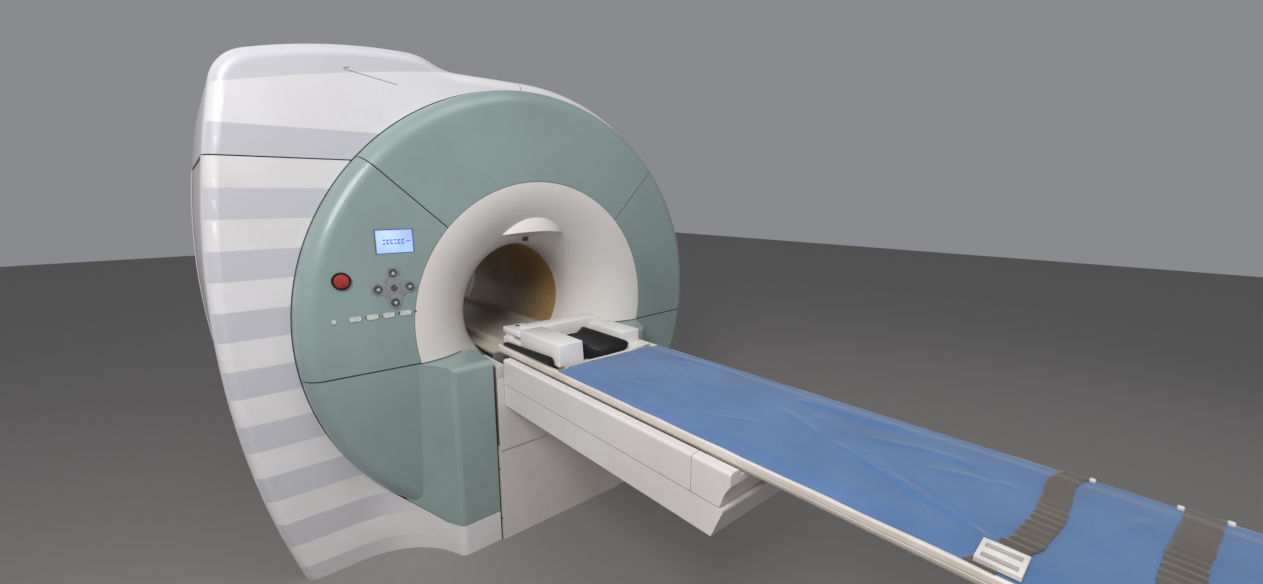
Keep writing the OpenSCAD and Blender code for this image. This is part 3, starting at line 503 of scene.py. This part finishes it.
# Each strap: its points in plan from the near rim to the far one, and its width (metres).
STRAPS = {
    "strap_front": (((-0.262, -2.735), (-0.215, -2.750), (-0.172, -2.766), (-0.121, -2.779), (0.006, -2.788),
                     (0.083, -2.784), (0.178, -2.778), (0.225, -2.782), (0.262, -2.792)), 0.052),
    "strap_rear": (((-0.262, -3.016), (-0.200, -3.010), (-0.140, -2.988), (-0.080, -2.974), (0.018, -2.978),
                    (0.110, -2.986), (0.200, -2.994), (0.262, -2.998)), 0.056),
}

# Creases of the sheet: ends in plan, height of the ridge (below zero for a hollow) and its width.
CREASES = (
    ((-0.012, -2.302), (-0.184, -2.754), 0.0095, 0.008),
    ((0.023, -2.378), (-0.157, -2.733), -0.0060, 0.008),
    ((0.060, -2.120), (-0.020, -2.310), 0.0050, 0.016),
    ((0.151, -2.091), (0.193, -2.480), 0.0080, 0.010),
    ((0.120, -2.150), (0.150, -2.520), -0.0035, 0.018),
    ((0.070, -2.350), (0.130, -2.640), 0.0042, 0.018),
    ((-0.143, -1.986), (-0.071, -2.155), 0.0032, 0.009),
    ((-0.151, -2.560), (-0.110, -2.640), -0.0034, 0.012),
    ((0.107, -2.560), (0.060, -2.690), -0.0034, 0.014),
    ((-0.225, -2.000), (-0.185, -2.030), -0.0026, 0.010),
    ((-0.020, -2.040), (0.020, -2.060), -0.0028, 0.012),
    ((-0.090, -2.840), (0.160, -2.930), 0.0046, 0.014),
    ((0.020, -2.520), (0.080, -2.740), 0.0034, 0.012),
    ((-0.180, -3.080), (0.020, -3.260), 0.0040, 0.016),
    ((0.190, -1.500), (0.215, -1.900), 0.0038, 0.012),
    ((-0.170, -1.560), (-0.080, -1.800), 0.0022, 0.014),
    ((0.080, -1.620), (0.030, -1.880), 0.0024, 0.016),
    ((-0.060, -2.480), (-0.120, -2.660), 0.0030, 0.008),
)


def smooth(t):
    """Step from 0 to 1 with level ends."""
    t = min(1.0, max(0.0, t))
    return t * t * (3 - 2 * t)


def crease_height(x, y):
    """Height that the sheet's creases add at a point."""
    h = 0.0
    for (x0, y0), (x1, y1), amp, width in CREASES:
        dx, dy = x1 - x0, y1 - y0
        ln = math.hypot(dx, dy)
        t = ((x - x0) * dx + (y - y0) * dy) / ln / ln
        if not -0.05 < t < 1.05:
            continue
        off = ((x - x0) * dy - (y - y0) * dx) / ln
        off += 0.004 * math.sin(t * 7.0 + amp * 900)
        fade = smooth(t / 0.25) * smooth((1 - t) / 0.2)
        h += amp * fade * math.exp(-((off / width) ** 2))
    return h


def strap_y(points, x):
    """Y of a strap's middle line at x, smoothed between its points."""
    for (x0, y0), (x1, y1) in zip(points, points[1:]):
        if x <= x1:
            return y0 + (y1 - y0) * smooth((x - x0) / (x1 - x0))
    return points[-1][1]


def sheet_height(x, y):
    """Top of the sheet over the mattress, turned down towards the rims and at the foot end."""
    a = abs(x)
    z = SHEET_TOP
    if a > SIDE_START:
        z -= SIDE_FALL * smooth((a - SIDE_START) / SIDE_WIDTH)
    body = 1.0 - smooth((a - 0.20) / 0.045)
    z += WAVE_LONG * noise.noise(Vector((x * 5.5, y * 3.2, 3.1))) * (0.4 + 0.6 * body)
    z += WAVE_SHORT * noise.noise(Vector((x * 21, y * 13, 7.7)))
    z += crease_height(x, y) * (0.35 + 0.65 * body)
    for points, width in STRAPS.values():
        z -= STRAP_PRESS * math.exp(-(((y - strap_y(points, x)) / (width * 0.75)) ** 2)) * body
    if a > 0.226:
        z = max(z, OVER_RIM)
    else:
        z = max(z, OVER_MATTRESS - (OVER_MATTRESS - OVER_RIM) * smooth((a - MATTRESS_HALF) / 0.02))
    turn = smooth((SHEET_Y0 + TURN_LEN - y) / 0.018)
    return z - TURN_DROP * turn * (1.0 - smooth((a - 0.186) / 0.020))


def add_sheet():
    """Creased cloth laid over the mattress, with its long edges on the rims."""
    nu, nv = 126, 340
    verts = []
    for j in range(nv):
        y = SHEET_Y0 + (SHEET_Y1 - SHEET_Y0) * j / (nv - 1)
        for i in range(nu):
            x = -SHEET_HALF + 2 * SHEET_HALF * i / (nu - 1)
            edge = EDGE_STRAY * noise.noise(Vector((y * 9.0, 4.4 if x > 0 else 1.3, 0.0)))
            xx = x + edge * smooth((abs(x) - 0.20) / 0.05)
            verts.append((xx, y, sheet_height(x, y)))
    obj = mesh_object("sheet_cloth", verts, grid_faces(nv, nu), "sheet_blue")
    solid = obj.modifiers.new("thickness", "SOLIDIFY")
    solid.thickness = SHEET_THICK
    solid.offset = -1
    apply_modifiers(obj)
    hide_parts("sheet")
    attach(obj, "table")


def superbox(name, lo, hi, mat, power, nu):
    """Closed form between two corners, rounded like a superellipse."""
    lo, hi = Vector(lo), Vector(hi)
    mid, half = (lo + hi) / 2, (hi - lo) / 2
    bm = bmesh.new()
    bmesh.ops.create_cube(bm, size=2.0)
    bmesh.ops.subdivide_edges(bm, edges=bm.edges[:], cuts=nu, use_grid_fill=True)
    for v in bm.verts:
        c = v.co
        c /= (abs(c.x) ** power + abs(c.y) ** power + abs(c.z) ** power) ** (1 / power)
        v.co = Vector((mid.x + c.x * half.x, mid.y + c.y * half.y, mid.z + c.z * half.z))
    mesh = bpy.data.meshes.new(name)
    bm.to_mesh(mesh)
    bm.free()
    return linked(name, mesh, mat)


def add_mattress():
    """Thin mattress between the rims, under the sheet."""
    obj = superbox("mattress_body", (-MATTRESS_HALF, SHEET_Y0 + 0.018, MATTRESS_Z0),
                   (MATTRESS_HALF, SHEET_Y1 - 0.003, MATTRESS_Z1), "mattress_grey", power=14.0, nu=30)
    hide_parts("mattress")
    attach(obj, "table")


def ribbon(name, path, across, thick, mat, rows=8):
    """Flat webbing along a path of points, with its width along `across` and a slight curl at its edges."""
    verts, n = [], len(path)
    for k, p in enumerate(path):
        a, b = path[max(0, k - 1)], path[min(n - 1, k + 1)]
        tangent = (b - a).normalized()
        normal = tangent.cross(across).normalized()
        for r in range(rows + 1):
            t = r / rows * 2 - 1
            wave = 0.0007 * noise.noise(Vector((p.x * 30, p.y * 30, t * 3)))
            verts.append(p + across * t + normal * (wave - 0.0006 * t * t * t * t))
    obj = mesh_object(name, verts, grid_faces(n, rows + 1), mat)
    solid = obj.modifiers.new("thickness", "SOLIDIFY")
    solid.thickness = thick
    solid.offset = 0
    apply_modifiers(obj)
    return obj


# Straps: lift of their middle over the sheet, thickness of the webbing, height and rate of its cross folds.
WEB_LIFT, WEB_THICK = 0.0026, 0.0017
FOLD_HIGH, FOLD_RATE = 0.0022, 230


def add_straps():
    """Webbing over the sheet from rim to rim, a little slanted in its width."""
    steps = 150
    across = Vector((0.08, 1, 0)).normalized()
    for name, (points, width) in STRAPS.items():
        x0, x1 = points[0][0], points[-1][0]
        path = []
        for k in range(steps + 1):
            x = x0 + (x1 - x0) * k / steps
            y = strap_y(points, x)
            z = sheet_height(min(SHEET_HALF, max(-SHEET_HALF, x)), y) + WEB_LIFT
            # Cross folds where the webbing has been bunched near its buckle and halfway along.
            near = math.exp(-(((x + 0.165) / 0.045) ** 2)) + 0.6 * math.exp(-(((x + 0.02) / 0.06) ** 2))
            z += FOLD_HIGH * near * (1 + math.sin(x * FOLD_RATE))
            path.append(Vector((x, y, z)))
        obj = ribbon(name + "_web", path, across * (width / 2), WEB_THICK, "strap_brown")
        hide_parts(name)
        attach(obj, "table")


# Pegs: distance off the middle, place along the table, half width, height over the rim and depth in it.
PEG_X, PEG_YS = 0.256, (-2.822, -2.962, -3.032)
PEG_HALF, PEG_HIGH, PEG_SINK = 0.006, 0.009, 0.0005


def add_pegs():
    """Small rounded pegs on the far rim that hold the straps' ends."""
    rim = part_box("tabletop")[1].z
    for i, y in enumerate(PEG_YS):
        obj = superbox("strap_peg_%d" % (i + 1), (PEG_X - PEG_HALF, y - PEG_HALF, rim - PEG_SINK),
                       (PEG_X + PEG_HALF, y + PEG_HALF, rim + PEG_HIGH), "buckle_white", power=4.0, nu=6)
        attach(obj, "table")


def along_y(profile, y0, y1, verts, faces):
    """Adds a closed (x, z) outline, drawn out along the table from y0 to y1, to verts and faces."""
    first, n = len(verts), len(profile)
    verts += [(x, y0, z) for x, z in profile] + [(x, y1, z) for x, z in profile]
    faces += [(first + i, first + (i + 1) % n, first + n + (i + 1) % n, first + n + i) for i in range(n)]
    faces.append(tuple(first + n - 1 - i for i in range(n)))
    faces.append(tuple(first + n + i for i in range(n)))


# Coil base: its bottom between the rims and over them, the floor of its hollow, half its width, and half the
# gap between the rims.
COIL_BED, COIL_RIM, COIL_FLOOR, COIL_HALF = 0.8430, 0.8685, 0.8706, 0.236
RIM_INNER = 0.207
# Row Y of its front, of the far block's front, of the cross wall's two faces and of its back, and the radius
# of its edges.
COIL_FRONT, COIL_FAR = fy(-0.601), fy(-0.540)
COIL_WALL, COIL_DECK, COIL_BACK = fy(-0.302), fy(-0.215), fy(-0.152)
EDGE_ROUND = 0.0045


def upright(x0, x1, z0, z1):
    """Outline of an upright block, for along_y."""
    return [(x1, z0), (x1, z1), (x0, z1), (x0, z0)]


def add_coil_base():
    """Moulded base of the head coil: a tall near shoulder, a lower far block, a cross wall and a deck."""
    verts, faces = [], []
    cradle = [(RIM_INNER, COIL_BED), (RIM_INNER, COIL_RIM), (COIL_HALF, COIL_RIM), (COIL_HALF, 0.8800),
              (0.120, COIL_FLOOR), (-0.120, COIL_FLOOR), (-0.126, 0.957), (-COIL_HALF, 0.957),
              (-COIL_HALF, COIL_RIM), (-RIM_INNER, COIL_RIM), (-RIM_INNER, COIL_BED)]
    far_block = [(0.226, COIL_RIM), (0.226, 0.932), (0.127, 0.932), (0.121, COIL_RIM)]
    along_y(cradle, COIL_FRONT, COIL_WALL, verts, faces)
    along_y(far_block, COIL_FAR, COIL_WALL, verts, faces)
    along_y(upright(-0.190, 0.190, COIL_RIM, 0.956), COIL_WALL, COIL_DECK, verts, faces)
    along_y(upright(-0.228, 0.150, COIL_RIM, 0.926), COIL_DECK, COIL_BACK, verts, faces)
    along_y(upright(-COIL_HALF, -0.130, 0.920, 0.944), COIL_WALL, COIL_BACK + 0.004, verts, faces)
    along_y(upright(-COIL_HALF, COIL_HALF, COIL_RIM, 0.900), COIL_WALL, COIL_BACK + 0.002, verts, faces)
    obj = mesh_object("coil_base_shell", verts, faces, "coil_white", smooth=False)
    bm = bmesh.new()
    bm.from_mesh(obj.data)
    bmesh.ops.recalc_face_normals(bm, faces=bm.faces[:])
    bm.to_mesh(obj.data)
    bm.free()
    bevel = obj.modifiers.new("edges", "BEVEL")
    bevel.width = EDGE_ROUND
    bevel.segments = 3
    bevel.limit_method = "ANGLE"
    bevel.angle_limit = math.radians(35)
    apply_modifiers(obj)
    shade(obj, angle=40)
    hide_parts("coil_base")
    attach(obj, "table")
    # Painted shade: a thin black patch on the top slab stands for the dark inside of a hole.
    socket = superbox("coil_hole_shade", (-0.191, fy(-0.190), 0.9435), (-0.171, fy(-0.170), 0.9452), "pad_black",
                      power=3.0, nu=8)
    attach(socket, "table")


# Side pad: how far it stands above its CAD box, its height at the head end as a share of the full one, and
# the power that squares its section.
SIDE_PAD_RISE, SIDE_PAD_THIN, SIDE_PAD_POWER = 0.007, 0.45, 0.6


def add_side_pad():
    """Long foam wedge on the near edge of the coil base: thin at the head end, full at the foot end."""
    lo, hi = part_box("side_pad")
    high = hi.z - lo.z + SIDE_PAD_RISE
    n_l, n_r = 40, 24
    verts = []
    for i in range(n_l + 1):
        t = i / n_l
        y = hi.y - (hi.y - lo.y) * t
        size = math.sqrt(max(0.01, min(1.0, 1 - max(0.0, (t - 0.93) / 0.0702) ** 2, t / 0.08)))
        tall = size * (SIDE_PAD_THIN + (1 - SIDE_PAD_THIN) * t)
        for r in range(n_r):
            a = 2 * math.pi * r / n_r
            cx, cz = math.cos(a), math.sin(a)
            ex = math.copysign(abs(cx) ** SIDE_PAD_POWER, cx) * (hi.x - lo.x) / 2 * size
            ez = (math.copysign(abs(cz) ** SIDE_PAD_POWER, cz) + 1) / 2 * high * tall
            verts.append(((lo.x + hi.x) / 2 + ex, y, lo.z + ez))
    faces = []
    for i in range(n_l):
        for r in range(n_r):
            a, b = i * n_r + r, i * n_r + (r + 1) % n_r
            faces.append((a, b, b + n_r, a + n_r))
    faces.append(tuple(range(n_r))[::-1])
    faces.append(tuple(n_l * n_r + r for r in range(n_r)))
    obj = mesh_object("side_pad_foam", verts, faces, "pad_black")
    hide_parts("side_pad")
    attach(obj, "table")


# Head pad: height of the axis that it bends round, its outer radius, its two ends, its near and far edges as
# angles from straight down, and the half width and depth of the squarish bed that it fills.
HEAD_Z, HEAD_R = 1.010, 0.1394
HEAD_Y0, HEAD_Y1 = fy(-0.598), fy(-0.300)
HEAD_A0, HEAD_A1 = math.radians(-90 - 57), math.radians(-90 + 46)
HEAD_BED = (0.1168, 0.1388)
# Its thickness, the least one at its edges, the roll of the edges, the depth of its seam, and its waviness.
HEAD_THICK, HEAD_LEAST, HEAD_ROLL, HEAD_SEAM, HEAD_WAVE = 0.0195, 0.0004, 0.016, 0.0016, 0.0012


def add_head_pad():
    """Curved cushion in the hollow of the coil base, with a crowned inner face and rolled edges."""
    na, ny = 56, 36
    outer, inner = [], []
    for j in range(ny + 1):
        v = j / ny
        y = HEAD_Y0 + (HEAD_Y1 - HEAD_Y0) * v
        for i in range(na + 1):
            u = i / na
            a = HEAD_A0 + (HEAD_A1 - HEAD_A0) * u
            edge = min(u, 1 - u) * (HEAD_A1 - HEAD_A0) * HEAD_R
            end = min(v, 1 - v) * (HEAD_Y1 - HEAD_Y0)
            full = math.sqrt(max(0.0, 1 - (1 - min(1.0, edge / HEAD_ROLL)) ** 2))
            full *= math.sqrt(max(0.0, 1 - (1 - min(1.0, end / HEAD_ROLL)) ** 2))
            seam = HEAD_SEAM * math.exp(-(((u - 0.5) / 0.02) ** 2))
            wave = HEAD_WAVE * noise.noise(Vector((u * 5, v * 5, 2.0)))
            thick = HEAD_THICK * full + wave * full - seam * full
            block = ((abs(math.cos(a)) / HEAD_BED[0]) ** 8 + (abs(math.sin(a)) / HEAD_BED[1]) ** 8) ** -0.125
            block = max(block, HEAD_R)
            outer.append((block * math.cos(a), y, HEAD_Z + block * math.sin(a)))
            ri = HEAD_R - HEAD_LEAST - thick
            inner.append((ri * math.cos(a), y, HEAD_Z + ri * math.sin(a)))
    verts = outer + inner
    off = len(outer)
    row = na + 1
    faces = []
    for j in range(ny):
        for i in range(na):
            a = j * row + i
            faces.append((a, a + row, a + row + 1, a + 1))
            faces.append((off + a, off + a + 1, off + a + row + 1, off + a + row))
    for j in range(ny):
        for i in (0, na):
            a, b = j * row + i, (j + 1) * row + i
            f = (a, b, off + b, off + a)
            faces.append(f if i else f[::-1])
    for i in range(na):
        for j in (0, ny):
            a, b = j * row + i, j * row + i + 1
            f = (a, b, off + b, off + a)
            faces.append(f if j == 0 else f[::-1])
    obj = mesh_object("head_pad_foam", verts, faces, "pad_black")
    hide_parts("head_pad")
    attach(obj, "table")


add_mattress()
add_sheet()
add_straps()
add_pegs()
add_coil_base()
add_side_pad()
add_head_pad()

# Small marks on the controls, and screws.

# Surface of the ring covers: place of its outer rim for fy, how far it rises to its inner rim, both radii.
DOME = dict(back=-0.098, rise=0.018, r_in=0.602, r_out=0.930)


def on_dome(x, z):
    """Frame of the ring's surface at (x, z): local -Y points outwards."""
    r = math.hypot(x, z - BORE_H)
    a = math.atan2(z - BORE_H, x)
    span = DOME["r_out"] - DOME["r_in"]
    y = fy(DOME["back"] - (DOME["r_out"] - r) * DOME["rise"] / span)
    tilt = math.atan(DOME["rise"] / span)
    turn = Matrix.Rotation(-a, 4, "Y") @ Matrix.Rotation(tilt, 4, "Z") @ Matrix.Rotation(a, 4, "Y")
    return Matrix.Translation((x, y, z)) @ turn


# Thickness of a mark, and how far it reaches into the surface under it.
MARK_THICK, MARK_SINK = 0.0005, 0.0002


def mark(name, place, outlines, out, mat, body):
    """Flat mark of one or more outlines (local X and Z), standing `out` in front of a surface."""
    verts, faces = [], []
    for pts in outlines:
        n, k = len(pts), len(verts)
        verts += [place @ Vector((x, -out - MARK_THICK, z)) for x, z in pts]
        verts += [place @ Vector((x, -out + MARK_SINK, z)) for x, z in pts]
        faces.append(tuple(range(k, k + n)))
        faces.append(tuple(range(k + 2 * n - 1, k + n - 1, -1)))
        faces += [(k + i, k + n + i, k + n + (i + 1) % n, k + (i + 1) % n) for i in range(n)]
    obj = mesh_object(name, verts, faces, mat, smooth=False)
    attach(obj, body)


def disc(cx, cz, r, n=20):
    """Outline of a round mark."""
    turns = [2 * math.pi * i / n for i in range(n)]
    return [(cx + r * math.cos(a), cz + r * math.sin(a)) for a in turns]


def rect(x0, x1, z0, z1):
    """Outline of a straight mark."""
    return [(x0, z0), (x1, z0), (x1, z1), (x0, z1)]


# Row of keys: its height, the X of the keys that have marks, and how far right of a key its marks are.
# Pad: its middle in X and Z, the distance of its arrow keys, and how far their faces stand out.
ROW_Z = 1.060
ROW_X = (-0.809, -0.750, -0.692, -0.631)
ROW_MARKS = (0.021, 0.037)
PAD = (-0.665, 1.163)
PAD_STEP = 0.058
PAD_OUT = 0.005


def add_marks():
    """Plain pictograms beside the row of keys, arrows on the pad keys, and dashes on the display."""
    left = [(-0.0045, 0.0), (0.0025, 0.0048), (0.0025, -0.0048)]
    shapes = (
        [rect(-0.004, 0.004, -0.001, 0.0015), rect(-0.0035, -0.0015, -0.006, -0.001),
         rect(0.0015, 0.0035, -0.006, -0.001), disc(0.0, 0.0045, 0.0028)],
        [left, rect(0.0025, 0.0055, -0.0018, 0.0018)],
        [disc(0.0, 0.001, 0.0045), rect(-0.002, 0.002, -0.0065, -0.0035)],
        [[(-0.005, -0.005), (0.005, -0.005), (0.0, 0.005)]],
    )
    for i, x in enumerate(ROW_X):
        for k, dx in enumerate(ROW_MARKS):
            mark("row_mark_%d_%d" % (i + 1, k + 1), on_dome(x + dx, ROW_Z), shapes[(i + 2 * k) % 4], 0.0,
                 "mark_dark", "gantry")
    arrow = [(0.008, 0.0), (-0.005, 0.007), (-0.005, -0.007)]
    for name, (dx, dz), turn in (("up", (0, 1), 90), ("down", (0, -1), -90), ("left", (-1, 0), 180),
                                 ("right", (1, 0), 0)):
        c, t = math.cos(math.radians(turn)), math.sin(math.radians(turn))
        pts = [(c * x - t * z, t * x + c * z) for x, z in arrow]
        place = on_dome(PAD[0] + dx * PAD_STEP, PAD[1] + dz * PAD_STEP)
        mark("pad_arrow_" + name, place, [pts], PAD_OUT, "key_light", "pad_key_%s_body" % name)
    dashes = []
    for i in range(6):
        x = -0.042 + i * 0.0135
        dashes.append(rect(x, x + 0.009, 0.004, 0.008))
        if i % 3:
            dashes.append(rect(x, x + 0.003, -0.006, 0.004))
        dashes.append(rect(x, x + 0.009, -0.010, -0.006))
    dashes.append(rect(0.042, 0.058, -0.002, 0.001))
    mark("display_marks", on_dome(*LCD), dashes, 0.0, "lcd_mark", "gantry")


# Screws: radius of the head, and their heights above the floor.
SCREW_R = 0.006
SCREW_ZS = (0.10, 0.34)


def add_screw(name, place, body, r=SCREW_R):
    """Low round screw head with a socket, its axis along local -Y."""
    n = 24
    rings = ((r, 0.0004), (r, -0.0008), (r * 0.8, -0.0018), (r * 0.42, -0.0020), (r * 0.38, -0.0006))
    verts = [place @ Vector((q * math.cos(2 * math.pi * i / n), y, q * math.sin(2 * math.pi * i / n)))
             for q, y in rings for i in range(n)]
    faces = [(k * n + i, k * n + (i + 1) % n, (k + 1) * n + (i + 1) % n, (k + 1) * n + i)
             for k in range(len(rings) - 1) for i in range(n)]
    faces.append(tuple(range(n))[::-1])
    faces.append(tuple((len(rings) - 1) * n + i for i in range(n)))
    obj = mesh_object(name, verts, faces, "screw_grey", smooth=False)
    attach(obj, body)


def add_screws():
    """Two screws on each side of the lower apron."""
    side = Matrix.Rotation(math.radians(-90), 4, "Z")
    lo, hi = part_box("lower_apron")
    for i, z in enumerate(SCREW_ZS):
        for s, label in ((-1, "left"), (1, "right")):
            turn = side if s < 0 else side.inverted()
            place = Matrix.Translation((s * hi.x, (lo.y + hi.y) / 2, z)) @ turn
            add_screw("apron_screw_%s_%d" % (label, i + 1), place, "gantry")


add_marks()
add_screws()

# Floor and light.

FLOOR_HALF = 14
FLOOR_COLOUR, FLOOR_ROUGH = (0.25, 0.235, 0.225, 1), 0.7
SKY_COLOUR, SKY_STRENGTH = (0.93, 0.95, 1.0, 1), 0.27

# Round lamps: place, point that they face, diameter (metres) and power (watts).
LAMPS = {
    "key": ((-2.7, -3.1, 3.3), (-0.3, -0.9, 1.0), 1.8, 112),
    "top": ((0.2, -3.2, 5.0), (0.0, -1.8, 0.8), 3.0, 46),
    "fill": ((3.6, -3.8, 2.6), (0.2, -1.0, 0.8), 3.0, 6),
}


def add_floor():
    """Plain floor that only the render has."""
    mesh = bpy.data.meshes.new("floor")
    s = FLOOR_HALF
    mesh.from_pydata([(-s, -s, 0), (s, -s, 0), (s, s, 0), (-s, s, 0)], [], [(0, 1, 2, 3)])
    obj = bpy.data.objects.new("floor", mesh)
    bpy.context.scene.collection.objects.link(obj)
    mat = bpy.data.materials.new("floor")
    mat.use_nodes = True
    shader = mat.node_tree.nodes["Principled BSDF"]
    shader.inputs["Base Color"].default_value = FLOOR_COLOUR
    shader.inputs["Roughness"].default_value = FLOOR_ROUGH
    mesh.materials.append(mat)


def add_light():
    """Even light from all round, and the lamps."""
    world = bpy.data.worlds.new("world")
    bpy.context.scene.world = world
    world.use_nodes = True
    sky = world.node_tree.nodes["Background"]
    sky.inputs["Color"].default_value = SKY_COLOUR
    sky.inputs["Strength"].default_value = SKY_STRENGTH
    for name, (place, target, size, power) in LAMPS.items():
        light = bpy.data.lights.new(name, "AREA")
        light.shape = "DISK"
        light.size = size
        light.energy = power
        obj = bpy.data.objects.new(name, light)
        bpy.context.scene.collection.objects.link(obj)
        obj.location = place
        obj.rotation_euler = (Vector(target) - Vector(place)).to_track_quat("-Z", "Y").to_euler()
    bpy.context.scene.view_settings.view_transform = "Standard"


add_floor()
add_light()
